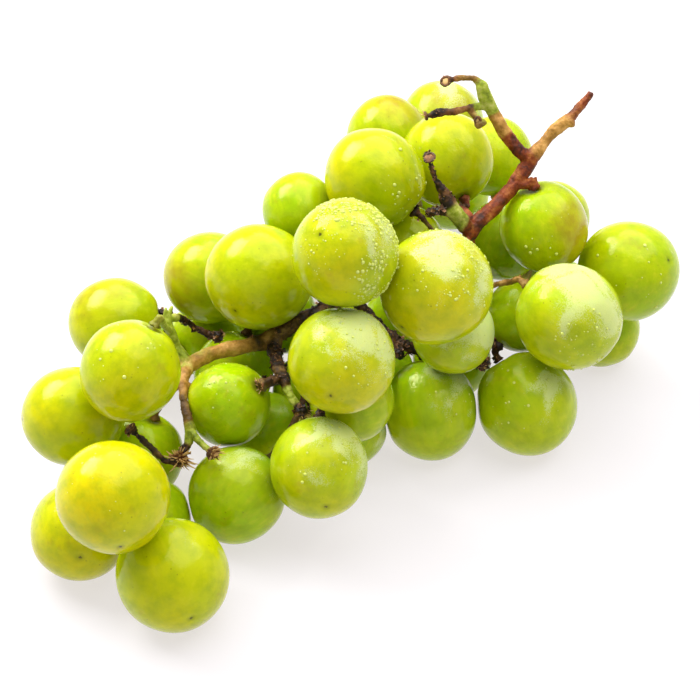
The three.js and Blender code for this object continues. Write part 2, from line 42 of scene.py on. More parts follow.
# Berries
SPHERE_SEGMENTS = 72
SPHERE_RINGS = 44
DIMPLE_DEPTH = 0.9
DIMPLE_WIDTH = 2.3
PIT_DEPTH = 0.2  # of the scar where the flower was
PIT_WIDTH = 1.0
SCAR_RADIUS = 0.34
LUMPS = 1.2
PRESSED_EDGE = 1.2  # over which a flattened spot rounds into the skin
PRESSED_REACH = 0.5  # a wall this far outside a berry can still press it
SKIN_GAP = 0.12
FIT_ROUNDS = 4
FLAT_SPOT = 0.4  # skin this far inside the fitted ball is left out of the fit
STALK_END_WIDTH = 3.4
STALK_END_SLACK = 0.8  # how much farther than the nearest stem corner a stalk's end may lie
STALK_END_LEVEL = 0.06
LIGHT_REACH = 4.5  # how far light soaks through the flesh

# Stem
BARK_VOXEL = 0.36
BARK_RIDGES = 0.64
MARK_REACH = 3
PER_CM2 = 1e4  # one to the square centimetre, counted by the square metre
GOLDEN_ANGLE = 2.4
SEARCH_STEPS = 12
STALK_END_REACH = 3.2
STALK_TIP = 0.6

# Studio
SENSOR_WIDTH = 36
FLOOR_HALF_WIDTH = 12000


# Kinds of node that are used again and again
MATH = "ShaderNodeMath"
VECTOR_MATH = "ShaderNodeVectorMath"
RANGE = "ShaderNodeMapRange"
MIX = "ShaderNodeMix"
NOISE = "ShaderNodeTexNoise"
CELLS = "ShaderNodeTexVoronoi"
ATTRIBUTE = "ShaderNodeAttribute"
COMBINE = "ShaderNodeCombineXYZ"
SEPARATE = "ShaderNodeSeparateXYZ"
SURFACE = "ShaderNodeBsdfPrincipled"
RAMP = "ShaderNodeValToRGB"
BUMP = "ShaderNodeBump"
STORE = "GeometryNodeStoreNamedAttribute"
SET_PLACE = "GeometryNodeSetPosition"
PLACE = "GeometryNodeInputPosition"
STORED = "GeometryNodeInputNamedAttribute"
COPY_TO_POINTS = "GeometryNodeInstanceOnPoints"
TRANSFORM = "GeometryNodeTransform"
SCATTER = "GeometryNodeDistributePointsOnFaces"
CIRCLE = "GeometryNodeCurvePrimitiveCircle"
SWEEP = "GeometryNodeCurveToMesh"
JOIN = "GeometryNodeJoinGeometry"
RANDOM = "FunctionNodeRandomValue"
ROTATE_VECTOR = "FunctionNodeRotateVector"
ALIGN = "FunctionNodeAlignRotationToVector"
BALL = "GeometryNodeMeshUVSphere"


def mm(value):
    """Millimetres as Blender's metres."""
    if isinstance(value, (int, float)):
        return value / 1000
    return Vector(value) / 1000


def colour(code):
    """An sRGB hex colour as linear red, green, blue and alpha."""
    parts = [int(code[i : i + 2], 16) / 255 for i in (1, 3, 5)]
    return [c / 12.92 if c <= 0.04045 else ((c + 0.055) / 1.055) ** 2.4 for c in parts] + [1]


def add(tree, kind, inputs=(), operation=None, **settings):
    """Adds a node. An input is given by name or number, as a value, a node or a node's output."""
    made = tree.nodes.new(kind)
    if operation:
        made.operation = operation
    for name, value in settings.items():
        setattr(made, name, value)
    shown = [socket for socket in made.inputs if socket.enabled]
    for key, value in dict(inputs).items():
        socket = shown[key] if isinstance(key, int) else next(s for s in shown if s.name == key)
        if isinstance(value, bpy.types.Node):
            value = next(s for s in value.outputs if s.enabled)
        if isinstance(value, bpy.types.NodeSocket):
            tree.links.new(value, socket)
        else:
            socket.default_value = value
    return made


def new_material(name):
    """An empty material, its tree and its output node."""
    material = bpy.data.materials.new(name)
    material.use_nodes = True
    material.node_tree.nodes.clear()
    return material, material.node_tree, add(material.node_tree, "ShaderNodeOutputMaterial")


def new_tree(name, sockets):
    """A geometry tree with named inputs, listed by kind, and one geometry output."""
    tree = bpy.data.node_groups.new(name, "GeometryNodeTree")
    for kind, labels in sockets.items():
        for label in labels:
            tree.interface.new_socket(label, in_out="INPUT", socket_type="NodeSocket" + kind)
    tree.interface.new_socket("Geometry", in_out="OUTPUT", socket_type="NodeSocketGeometry")
    return tree, add(tree, "NodeGroupInput").outputs


def finish_tree(tree, geometry, material):
    """Ends a geometry tree in real, smooth, painted faces."""
    real = add(tree, "GeometryNodeRealizeInstances", {0: geometry})
    smooth = add(tree, "GeometryNodeSetShadeSmooth", {"Geometry": real})
    painted = add(tree, "GeometryNodeSetMaterial", {"Geometry": smooth, "Material": material})
    add(tree, "NodeGroupOutput", {0: painted})


def grow(name, mesh, tree, inputs):
    """Runs a geometry tree on a mesh and returns what grew as a plain mesh object."""
    seedling = bpy.data.objects.new(name + "_seedling", mesh)
    bpy.context.scene.collection.objects.link(seedling)
    modifier = seedling.modifiers.new("grown", "NODES")
    modifier.node_group = tree
    for socket in tree.interface.items_tree:
        if socket.in_out == "INPUT" and socket.name in inputs:
            modifier[socket.identifier] = inputs[socket.name]
    graph = bpy.context.evaluated_depsgraph_get()
    grown = bpy.data.meshes.new_from_object(seedling.evaluated_get(graph), depsgraph=graph)
    bpy.data.objects.remove(seedling)
    grown.name = name
    piece = bpy.data.objects.new(name, grown)
    bpy.context.scene.collection.objects.link(piece)
    return piece


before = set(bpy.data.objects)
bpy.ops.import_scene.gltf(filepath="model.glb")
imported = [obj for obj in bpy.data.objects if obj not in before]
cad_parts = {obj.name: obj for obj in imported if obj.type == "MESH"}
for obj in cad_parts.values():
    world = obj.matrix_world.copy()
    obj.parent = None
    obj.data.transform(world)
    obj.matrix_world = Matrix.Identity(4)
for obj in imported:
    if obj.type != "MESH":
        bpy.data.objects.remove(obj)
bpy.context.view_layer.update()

# Where the photograph's camera stands. A place in the picture gives a line of sight from it.

azimuth = math.radians(VIEW_AZIMUTH)
elevation = math.radians(VIEW_ELEVATION)
level_ahead = Vector((-math.sin(azimuth), math.cos(azimuth), 0))
ahead = level_ahead * math.cos(elevation) - Vector((0, 0, math.sin(elevation)))
right = Vector((math.cos(azimuth), math.sin(azimuth), 0))
above = right.cross(ahead)
eye = mm(AIM) - ahead * mm(VIEW_DISTANCE)


def sight(across, down):
    """The direction from the camera to a place in the picture, given in its pixels."""
    middle = PICTURE_SIZE / 2
    aside = right * (across - middle) + above * (middle - down)
    return (ahead * mm(VIEW_DISTANCE) + aside * mm(1 / PIXELS_PER_MM)).normalized()


# Berries: each one's middle, stalk and size, read from its solid.


def corners(name):
    """A solid's corners."""
    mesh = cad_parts[name].data
    found = np.empty(len(mesh.vertices) * 3, np.float32)
    mesh.vertices.foreach_get("co", found)
    return np.unique(found.reshape(-1, 3).astype(float).round(7), axis=0)


def measured(name, stem_corners):
    """A berry's middle, the way its stalk leaves it, and its half width and half length."""
    skin = corners(name)
    kept = skin
    for _ in range(FIT_ROUNDS):
        rows = np.hstack([2 * kept, np.ones((len(kept), 1))])
        fit = np.linalg.lstsq(rows, (kept**2).sum(1), rcond=None)[0]
        middle = fit[:3]
        radius = math.sqrt(fit[3] + middle @ middle)
        proud = np.linalg.norm(skin - middle, axis=1) - radius
        kept = skin[proud > -mm(FLAT_SPOT)]

    # The stalk's end is a small disc, so its corners lie equally far from the middle and close together.
    away = np.linalg.norm(stem_corners - middle, axis=1)
    candidates = np.flatnonzero(away < away.min() + mm(STALK_END_SLACK))
    best = []
    for seed in candidates:
        apart = np.linalg.norm(stem_corners[candidates] - stem_corners[seed], axis=1)
        level = abs(away[candidates] - away[seed])
        disc = candidates[(apart < mm(STALK_END_WIDTH)) & (level < mm(STALK_END_LEVEL))]
        if len(disc) > len(best):
            best = disc
    foot = stem_corners[best].mean(0)
    stalk_way = (foot - middle) / np.linalg.norm(foot - middle)
    along = (kept - middle) @ stalk_way
    aside = np.sqrt(np.maximum(((kept - middle) ** 2).sum(1) - along**2, 0))
    shares = np.linalg.lstsq(np.stack([aside**2, along**2], 1), np.ones(len(kept)), rcond=None)[0]
    half_width, half_length = 1 / np.sqrt(shares)
    return {
        "middle": Vector(middle),
        "stalk_way": Vector(stalk_way),
        "half_width": half_width,
        "half_length": half_length,
    }


stem_corners = corners("stem")
berries = {name: measured(name, stem_corners) for name in sorted(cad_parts) if name != "stem"}

# The grape's skin: a thin waxy cuticle over wet, glassy flesh. Light soaks in and comes out elsewhere,
# so that the berry glows, and where the wax hasn't been rubbed off it is paler and dull. On the sides that
# face up towards the overhead light, that paleness is also a painted sheen.

SKIN_COLOURS = {"unripe": "#96b904", "ripe": "#b2bc02", "golden": "#cdbe00"}
# The side where the pale film gathers, and where its painted sheen of the overhead light lies:
MIST_AND_SHEEN_SIDE = (0.5, 0.62, 0.6)  # to the right, above and towards the camera


def in_picture(way):
    """A direction given as parts to the right, above and towards the camera."""
    return (right * way[0] + above * way[1] - ahead * way[2]).normalized()


def grape_skin():
    """Glossy, translucent skin: ripe patches, veins, russet, pale film and painted sheen, specks and a
    scar.
    """
    material, tree, output = new_material("grape_skin")
    place = add(tree, ATTRIBUTE, attribute_name="skin_place").outputs["Vector"]
    from_scar = add(tree, ATTRIBUTE, attribute_name="from_scar").outputs["Vector"]
    names = ("skin_seed", "ripeness_and_glow", "mist_and_sheen", "blush")
    stored = [add(tree, ATTRIBUTE, attribute_name=name).outputs["Fac"] for name in names]
    seed, ripeness_and_glow, mist_and_sheen, blush = stored
    along = add(tree, SEPARATE, {0: place}).outputs["Z"]
    here = {"Vector": place, "W": seed}

    # Broad patches of riper flesh, and the flower end riper than the stalk end.
    patches = add(tree, NOISE, {**here, "Scale": 0.8, "Detail": 1.5}, noise_dimensions="4D")
    spread = add(
        tree, RANGE, {"Value": patches, "From Min": 0.3, "From Max": 0.7, "To Min": -0.26, "To Max": 0.2}
    )
    ends = add(tree, MATH, {0: along, 1: -0.1}, "MULTIPLY")
    varied = add(tree, MATH, {0: ripeness_and_glow, 1: spread}, "ADD")
    shade = add(tree, MATH, {0: varied, 1: ends}, "ADD", use_clamp=True)
    flesh = add(tree, RAMP, {"Fac": shade})
    flesh.color_ramp.elements[0].color = colour(SKIN_COLOURS["unripe"])
    flesh.color_ramp.elements[1].color = colour(SKIN_COLOURS["golden"])
    flesh.color_ramp.elements.new(0.5).color = colour(SKIN_COLOURS["ripe"])

    # Veins under the skin, running from end to end, and a slow mottle.
    stretched = add(tree, "ShaderNodeMapping", {"Vector": place, "Scale": (6.0, 6.0, 0.8)})
    vein_noise = add(
        tree, NOISE, {"Vector": stretched, "W": seed, "Scale": 1.7, "Detail": 3.0}, noise_dimensions="4D"
    )
    veins = add(tree, RANGE, {"Value": vein_noise, "From Min": 0.5, "From Max": 0.7, "To Max": 0.42})
    mottle = add(
        tree, NOISE, {**here, "Scale": 3.2, "Detail": 3.0, "Roughness": 0.6}, noise_dimensions="4D"
    )
    darker = add(tree, RANGE, {"Value": mottle, "From Min": 0.42, "From Max": 0.68, "To Max": 0.45})

    # Faint brown smudges of russet, and a side blushed by the sun on a few berries.
    smudges = add(
        tree, NOISE, {**here, "Scale": 2.3, "Detail": 3.0, "Roughness": 0.7}, noise_dimensions="4D"
    )
    russet = add(tree, RANGE, {"Value": smudges, "From Min": 0.6, "From Max": 0.72, "To Max": 0.4})
    tanned = add(tree, MATH, {0: mottle, 1: blush}, "MULTIPLY")

    # A pale, dull film of fine mist and wax on the sides that face one way, wiped at its edges. That way is
    # up towards the overhead light, so the film's paleness there is also a painted sheen.
    normal = add(tree, "ShaderNodeNewGeometry").outputs["Normal"]
    facing = add(tree, VECTOR_MATH, {0: normal, 1: in_picture(MIST_AND_SHEEN_SIDE)}, "DOT_PRODUCT").outputs["Value"]
    clouds = add(
        tree, NOISE, {**here, "Scale": 1.2, "Detail": 3.0, "Distortion": 1.1}, noise_dimensions="4D"
    )
    grains = add(tree, CELLS, {"Vector": place, "Scale": 42.0})
    cloudy = add(tree, MATH, {0: clouds, 1: 2.6, 2: facing}, "MULTIPLY_ADD")
    covered = add(tree, MATH, {0: mist_and_sheen, 1: 1.2, 2: cloudy}, "MULTIPLY_ADD")
    speckled = add(tree, MATH, {0: grains.outputs["Distance"], 1: -0.45, 2: covered}, "MULTIPLY_ADD")
    film_and_sheen = add(
        tree, RANGE, {"Value": speckled, "From Min": 2.76, "From Max": 3.12},
        interpolation_type="SMOOTHSTEP",
    )
    thin_film_and_sheen = add(tree, RANGE, {"Value": covered, "From Min": 2.3, "From Max": 3.3, "To Max": 0.04})
    film_and_sheen_share = add(tree, MATH, {0: film_and_sheen, 1: 0.62, 2: thin_film_and_sheen}, "MULTIPLY_ADD", use_clamp=True)

    # Brown specks a third of a millimetre across.
    cells = add(tree, CELLS, {**here, "Scale": 8.0}, voronoi_dimensions="4D")
    dots = add(
        tree, RANGE,
        {
            "Value": cells.outputs["Distance"],
            "From Min": 0.1,
            "From Max": 0.17,
            "To Min": 0.5,
            "To Max": 0.0,
        },
    )

    # The dry scar where the flower was, a dot in a darker halo, and the corky ring round the stalk.
    scar_away = add(tree, VECTOR_MATH, {0: from_scar}, "LENGTH").outputs["Value"]
    ragged = add(tree, NOISE, {**here, "Scale": 30.0, "Detail": 0.0}, noise_dimensions="4D")
    scar_edge = add(tree, MATH, {0: ragged, 1: mm(0.5), 2: scar_away}, "MULTIPLY_ADD")
    halo = add(
        tree, RANGE,
        {"Value": scar_edge, "From Min": mm(0.5), "From Max": mm(1.5), "To Min": 0.45, "To Max": 0.0},
    )
    scar = add(
        tree, RANGE,
        {
            "Value": scar_edge,
            "From Min": mm(SCAR_RADIUS + 0.1),
            "From Max": mm(SCAR_RADIUS + 0.35),
            "To Min": 0.8,
            "To Max": 0.0,
        },
    )
    ring = add(tree, RANGE, {"Value": along, "From Min": 0.965, "From Max": 0.99, "To Max": 0.7})

    # Each layer of colour lies over the ones before it.
    layers = (
        (veins, "#c6c620"),
        (darker, "#74900a"),
        (russet, "#9c8a1c"),
        (tanned, "#a87a1a"),
        # Pale film: wax and mist, and a painted sheen on the side that faces the overhead light.
        (film_and_sheen_share, "#c8d296"),
        (dots, "#6a6410"),
        (halo, "#5d6a08"),
        (scar, "#3c3410"),
        (ring, "#7d7a1c"),
    )
    shown = flesh
    for layer, paint in layers:
        shown = add(tree, MIX, {"Factor": layer, "A": shown, "B": colour(paint)}, data_type="RGBA")

    dulled = add(tree, MATH, {0: film_and_sheen, 1: 0.28, 2: 0.075}, "MULTIPLY_ADD")
    rough = add(tree, MATH, {0: dots, 1: 0.3, 2: dulled}, "MULTIPLY_ADD")
    pores = add(tree, NOISE, {"Vector": place, "Scale": 20.0, "Detail": 2.0})
    beads = add(tree, MATH, {0: grains.outputs["Distance"], 1: film_and_sheen}, "MULTIPLY")
    uneven = add(tree, MATH, {0: beads, 1: -0.8, 2: pores}, "MULTIPLY_ADD")
    relief = add(tree, BUMP, {"Strength": 0.16, "Distance": mm(0.4), "Height": uneven})
    skin = add(
        tree,
        SURFACE,
        {
            "Base Color": shown,
            "Roughness": rough,
            "IOR": 1.37,
            "Specular Tint": colour("#fff6b8"),
            "Subsurface Weight": 0.8,
            "Subsurface Radius": (1.0, 0.8, 0.16),
            "Subsurface Scale": mm(LIGHT_REACH),
            "Normal": relief,
        },
    )
    add_surface(tree, skin, output)
    return material


def add_surface(tree, shader, output):
    """Joins a shader to the material's output."""
    tree.links.new(shader.outputs[0], output.inputs["Surface"])


def berry_tree(material):
    """A berry: a long oval with a dimple and a scar, pressed by the flat walls round it."""
    tree, given = new_tree(
        "berry",
        {
            "Geometry": ["Walls"],
            "Vector": ["Middle", "Stalk Way", "Scar Way", "Blush Way"],
            "Float": [
                "Half Width", "Half Length", "Dimple Depth", "Pit Depth", "Lumps", "Ripeness And Glow", "Mist And Sheen",
                "Seed", "Blush",
            ],
        },
    )
    ball = add(tree, BALL, {"Segments": SPHERE_SEGMENTS, "Rings": SPHERE_RINGS, "Radius": 1.0})
    place = add(tree, PLACE)
    marked = add(
        tree,
        STORE,
        {"Geometry": ball, "Name": "skin_place", "Value": place},
        data_type="FLOAT_VECTOR",
    )
    # Stored with the skin: its tone, how far its film of wax and painted sheen reaches, and a seed.
    for name, socket in {"ripeness_and_glow": "Ripeness And Glow", "mist_and_sheen": "Mist And Sheen", "skin_seed": "Seed"}.items():
        marked = add(tree, STORE, {"Geometry": marked, "Name": name, "Value": given[socket]})
    size = add(tree, COMBINE, {0: given["Half Width"], 1: given["Half Width"], 2: given["Half Length"]})
    oval = add(tree, VECTOR_MATH, {0: place, 1: size}, "MULTIPLY")

    turn = add(tree, ALIGN, {"Vector": given["Stalk Way"]}, axis="Z")

    def hollow(way, width, depth):
        """How far the skin sinks towards the middle near the end that lies a given way."""
        end = add(tree, VECTOR_MATH, {0: way, "Scale": given["Half Width"]}, "SCALE")
        outside = add(tree, VECTOR_MATH, {0: place, "Scale": given["Half Width"]}, "SCALE")
        facing = add(tree, ROTATE_VECTOR, {"Vector": outside, "Rotation": turn})
        off = add(tree, VECTOR_MATH, {0: facing, 1: end}, "SUBTRACT")
        away = add(tree, VECTOR_MATH, {0: off}, "LENGTH").outputs["Value"]
        share = add(tree, MATH, {0: away, 1: mm(width)}, "DIVIDE")
        squared = add(tree, MATH, {0: share, 1: 2.0}, "POWER")
        opposite = add(tree, MATH, {0: squared, 1: -1.0}, "MULTIPLY")
        fade = add(tree, MATH, {0: opposite}, "EXPONENT")
        return off, add(tree, MATH, {0: fade, 1: depth}, "MULTIPLY")

    dimple = hollow(given["Stalk Way"], DIMPLE_WIDTH, given["Dimple Depth"])[1]
    from_scar, pit = hollow(given["Scar Way"], PIT_WIDTH, given["Pit Depth"])
    marked = add(
        tree,
        STORE,
        {"Geometry": marked, "Name": "from_scar", "Value": from_scar},
        data_type="FLOAT_VECTOR",
    )
    facing = add(tree, ROTATE_VECTOR, {"Vector": place, "Rotation": turn})
    sunny = add(tree, VECTOR_MATH, {0: facing, 1: given["Blush Way"]}, "DOT_PRODUCT").outputs["Value"]
    sunned = add(
        tree, RANGE, {"Value": sunny, "From Min": 0.55, "From Max": 0.95, "To Max": given["Blush"]}
    )
    marked = add(tree, STORE, {"Geometry": marked, "Name": "blush", "Value": sunned})
    sunk = add(tree, MATH, {0: pit, 1: dimple}, "ADD")
    inward = add(tree, VECTOR_MATH, {0: place, "Scale": sunk}, "SCALE")
    dimpled = add(tree, VECTOR_MATH, {0: oval, 1: inward}, "SUBTRACT")

    # Slow unevenness, so that no two berries are alike.
    uneven = add(
        tree, NOISE, {"Vector": place, "W": given["Seed"], "Scale": 0.8, "Detail": 1.0},
        noise_dimensions="4D",
    )
    centred = add(tree, MATH, {0: uneven, 1: 0.5}, "SUBTRACT")
    swell = add(tree, MATH, {0: centred, 1: given["Lumps"]}, "MULTIPLY")
    outward = add(tree, VECTOR_MATH, {0: place, "Scale": swell}, "SCALE")
    shaped = add(tree, VECTOR_MATH, {0: dimpled, 1: outward}, "ADD")

    turned = add(tree, ROTATE_VECTOR, {"Vector": shaped, "Rotation": turn})
    put = add(tree, VECTOR_MATH, {0: turned, 1: given["Middle"]}, "ADD")
    round_berry = add(tree, SET_PLACE, {"Geometry": marked, "Position": put})

    # Each wall in turn holds back the skin that would pass it.
    count = add(tree, "GeometryNodeAttributeDomainSize", {"Geometry": given["Walls"]})
    start = tree.nodes.new("GeometryNodeRepeatInput")
    end = tree.nodes.new("GeometryNodeRepeatOutput")
    start.pair_with_output(end)
    tree.links.new(count.outputs["Point Count"], start.inputs["Iterations"])
    tree.links.new(round_berry.outputs[0], start.inputs["Geometry"])
    wall = add(
        tree,
        "GeometryNodeSampleIndex",
        {"Geometry": given["Walls"], "Value": add(tree, PLACE), "Index": start.outputs["Iteration"]},
        data_type="FLOAT_VECTOR",
    )
    to_wall = add(tree, VECTOR_MATH, {0: wall, 1: given["Middle"]}, "SUBTRACT")
    reach = add(tree, VECTOR_MATH, {0: to_wall}, "LENGTH").outputs["Value"]
    way = add(tree, VECTOR_MATH, {0: to_wall}, "NORMALIZE")
    now = add(tree, PLACE)
    out = add(tree, VECTOR_MATH, {0: now, 1: given["Middle"]}, "SUBTRACT")
    toward = add(tree, VECTOR_MATH, {0: out, 1: way}, "DOT_PRODUCT").outputs["Value"]
    held = add(tree, MATH, {0: toward, 1: reach, 2: mm(PRESSED_EDGE)}, "SMOOTH_MIN")
    back = add(tree, MATH, {0: held, 1: toward}, "SUBTRACT")
    step = add(tree, VECTOR_MATH, {0: way, "Scale": back}, "SCALE")
    pressed = add(tree, SET_PLACE, {"Geometry": start.outputs["Geometry"], "Offset": step})
    tree.links.new(pressed.outputs[0], end.inputs["Geometry"])
    finish_tree(tree, end.outputs["Geometry"], material)
    return tree


def walls_of(name):
    """The nearest points of the flat walls between a berry and its neighbours, and the floor."""
    one = berries[name]
    size = max(one["half_width"], one["half_length"])
    below = Vector((one["middle"].x, one["middle"].y, 0))
    found = [below] if one["middle"].z < size + mm(PRESSED_REACH) else []
    for other_name, other in berries.items():
        if other_name == name:
            continue
        way = other["middle"] - one["middle"]
        share = one["half_width"] / (one["half_width"] + other["half_width"])
        reach = way.length * share - mm(SKIN_GAP) / 2
        if reach < size + mm(PRESSED_REACH):
            found.append(one["middle"] + way.normalized() * reach)
    return found


# How ripe the berries are that show, berry_01 first. The rest are greener. berry_09 and berry_10 sit in a
# hollow, and their lighter tones are partly painted light, for the glow that shines through them there.
RIPENESS_AND_GLOW = (
    0.54, 0.66, 0.8, 0.58, 0.55, 0.45, 0.3, 0.28, 0.24, 0.22, 0.15, 0.2, 0.36,
    0.55, 0.35, 0.25, 0.24, 0.25, 0.26, 0.5, 0.58, 0.5, 0.6, 0.6, 0.4, 0.4,
    0.4, 0.3, 0.36, 0.4, 0.36, 0.45, 0.3, 0.35, 0.32, 0.4, 0.3, 0.25, 0.2,
)
# How far the pale film of wax and painted sheen reaches over a berry
MIST_AND_SHEEN = {
    9: 0.6, 13: 0.92, 14: 0.9, 15: 0.7, 16: 1.0, 17: 0.72, 19: 0.7, 20: 0.7,
    22: 0.82, 25: 1.4, 31: 0.7, 36: 1.0,
}
# The side that the sun has tanned, to the right, above and towards the camera, and how strongly
BLUSH = {
    6: ((-0.3, 0.7, 0.6), 0.6),
    33: ((0.8, -0.1, 0.5), 0.9),
    27: ((-0.8, -0.2, 0.5), 0.7),
    30: ((0.3, 0.8, 0.4), 0.9),
    31: ((0.2, 0.5, 0.8), 0.7),
}
# Where in the picture a berry's scar shows
SCARS = {14: (330, 395), 13: (326, 505), 20: (320, 235), 22: (403, 326), 21: (236, 311), 3: (121, 548)}

skin_material = grape_skin()
berry_grower = berry_tree(skin_material)
chance = np.random.default_rng(7)
for name, berry in berries.items():
    number = int(name[-2:])
    mesh = bpy.data.meshes.new(name + "_walls")
    mesh.from_pydata(walls_of(name) or [Vector((0, 0, -1))], [], [])
    luck = chance.random(5)
    scar_way = -berry["stalk_way"] + Vector(luck[3:5].tolist() + [0]) * 0.1
    if number in SCARS:
        # Where the line of sight meets the berry.
        way = sight(*SCARS[number])
        near = (berry["middle"] - eye).dot(way)
        aside = eye + way * near - berry["middle"]
        scar_way = aside - way * math.sqrt(max(berry["half_width"] ** 2 - aside.length_squared, 0))
    blush_way, blush = BLUSH.get(number, ((0, 0, 1), 0.0))
    berry["piece"] = grow(
        "grown_" + name,
        mesh,
        berry_grower,
        {
            "Middle": berry["middle"],
            "Stalk Way": berry["stalk_way"],
            "Half Width": berry["half_width"],
            "Half Length": berry["half_length"],
            "Dimple Depth": mm(DIMPLE_DEPTH),
            "Pit Depth": mm(PIT_DEPTH),
            "Lumps": mm(LUMPS),
            "Ripeness And Glow": RIPENESS_AND_GLOW[number - 1] if number <= len(RIPENESS_AND_GLOW) else 0.1 + 0.3 * luck[0],
            "Mist And Sheen": MIST_AND_SHEEN.get(number, 0.05 + 0.3 * luck[1]),
            "Seed": 50 * luck[2],
            "Scar Way": scar_way.normalized(),
            "Blush Way": in_picture(blush_way),
            "Blush": blush,
        },
    )
    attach(berry["piece"], "root")
    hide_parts(name)

# Water beaded on the skin: small lenses, finest and densest on the cold, misty sides.


def water():
    """Glassy beads that catch the light; their pale yellow-green is painted light from the skin under them.
    """
    material, tree, output = new_material("water")
    place = add(tree, "ShaderNodeTexCoord").outputs["Object"]
    ripple = add(tree, NOISE, {"Vector": place, "Scale": 900.0})
    rough = add(tree, RANGE, {"Value": ripple, "To Min": 0.02, "To Max": 0.1})
    # Mostly opaque and pale: painted light, for the lit skin that clear water would show.
    drop = add(
        tree,
        SURFACE,
        {"Base Color": colour("#d2dc6a"), "Roughness": rough, "IOR": 1.38, "Transmission Weight": 0.15},
    )
    add_surface(tree, drop, output)
    return material


def drop_tree(material):
    """Drops in patches on the side of a berry that faces a given way, most of them small."""
    tree, given = new_tree(
        "drops",
        {
            "Geometry": ["Skin"],
            "Vector": ["Side"],
            "Float": ["Reach", "Density", "Smallest", "Largest"],
            "Int": ["Seed"],
        },
    )
    facing = add(
        tree, VECTOR_MATH, {0: add(tree, "GeometryNodeInputNormal"), 1: given["Side"]}, "DOT_PRODUCT"
    )
    over = add(tree, MATH, {0: given["Reach"], 1: 0.3}, "ADD")
    wet = add(tree, RANGE, {"Value": facing.outputs["Value"], "From Min": given["Reach"], "From Max": over})
    patches = add(tree, NOISE, {"Vector": add(tree, PLACE), "Scale": 260.0, "Detail": 2.0})
    patchy = add(tree, RANGE, {"Value": patches, "From Min": 0.38, "From Max": 0.6})
    both = add(tree, MATH, {0: wet, 1: patchy}, "MULTIPLY")
    density = add(tree, MATH, {0: both, 1: given["Density"]}, "MULTIPLY")
    scattered = add(tree, SCATTER, {"Mesh": given["Skin"], "Density": density, "Seed": given["Seed"]})
    luck = add(tree, RANDOM, {"Seed": given["Seed"]})
    rare = add(tree, MATH, {0: luck, 1: 4.0}, "POWER")
    size = add(tree, RANGE, {"Value": rare, "To Min": given["Smallest"], "To Max": given["Largest"]})
    ball = add(tree, BALL, {"Segments": 8, "Rings": 5, "Radius": 1.0})
    lens = add(tree, TRANSFORM, {"Geometry": ball, "Scale": (1.0, 1.0, 0.6)})
    beads = add(
        tree,
        COPY_TO_POINTS,
        {
            "Points": scattered.outputs["Points"],
            "Instance": lens,
            "Rotation": scattered.outputs["Rotation"],
            "Scale": size,
        },
    )
    finish_tree(tree, beads, material)
    return tree


# Wet sides of berries: the way the side faces in the picture, how near to it, drops a square centimetre,
# and their smallest and largest radius
WET = {
    "top_of_berry_20": ((0.15, 0.95, 0.05), 0.4, 340, 0.14, 0.5),
    "right_of_berry_20": ((0.9, -0.2, 0.15), 0.45, 240, 0.14, 0.5),
    "left_of_berry_20": ((-0.6, 0.25, 0.75), 0.7, 90, 0.12, 0.34),
    "top_of_berry_22": ((0.15, 0.65, 0.75), 0.4, 75, 0.13, 0.45),
    "right_of_berry_22": ((0.8, 0.2, 0.5), 0.5, 40, 0.13, 0.45),
    "top_of_berry_14": ((0.35, 0.5, 0.8), 0.4, 65, 0.11, 0.4),
    "right_of_berry_23": ((0.75, -0.3, 0.6), 0.5, 26, 0.14, 0.5),
    "foot_of_berry_36": ((0.5, -0.6, 0.5), 0.5, 40, 0.14, 0.45),
    "side_of_berry_35": ((0.0, -0.2, 0.9), 0.5, 16, 0.14, 0.5),
    "front_of_berry_03": ((-0.1, 0.3, 0.95), 0.5, 9, 0.14, 0.55),
    "front_of_berry_05": ((-0.1, 0.4, 0.9), 0.5, 16, 0.13, 0.5),
    "front_of_berry_13": ((0.0, 0.5, 0.85), 0.5, 26, 0.11, 0.4),
    "top_of_berry_10": ((0.0, 0.8, 0.6), 0.5, 30, 0.1, 0.36),
    "right_of_berry_17": ((0.6, 0.5, 0.6), 0.5, 26, 0.12, 0.42),
    "side_of_berry_19": ((-0.2, 0.4, 0.9), 0.5, 24, 0.12, 0.42),
    "foot_of_berry_33": ((0.3, -0.4, 0.85), 0.5, 16, 0.14, 0.5),
}
water_material = water()
drop_grower = drop_tree(water_material)
for seed, (name, (side, reach, per_cm2, smallest, largest)) in enumerate(WET.items()):
    skin_mesh = berries[name[-8:]]["piece"].data.copy()
    drops = grow(
        "drops_on_" + name,
        skin_mesh,
        drop_grower,
        {
            "Side": in_picture(side),
            "Reach": reach,
            "Density": per_cm2 * PER_CM2,
            "Smallest": mm(smallest),
            "Largest": mm(largest),
            "Seed": seed,
        },
    )
    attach(drops, "root")

# The stem: dry bark over a thin woody core, green where it is still fresh, tan where it has dried pale and
# black where it has died back.


def bark_browns(tree, mottle, dark, middle, light):
    """Three shades of one kind of bark, mottled from dark to light."""
    browns = add(tree, RAMP, {"Fac": mottle})
    browns.color_ramp.elements[0].position = 0.32
    browns.color_ramp.elements[0].color = colour(dark)
    browns.color_ramp.elements[1].position = 0.7
    browns.color_ramp.elements[1].color = colour(light)
    browns.color_ramp.elements.new(0.5).color = colour(middle)
    return browns


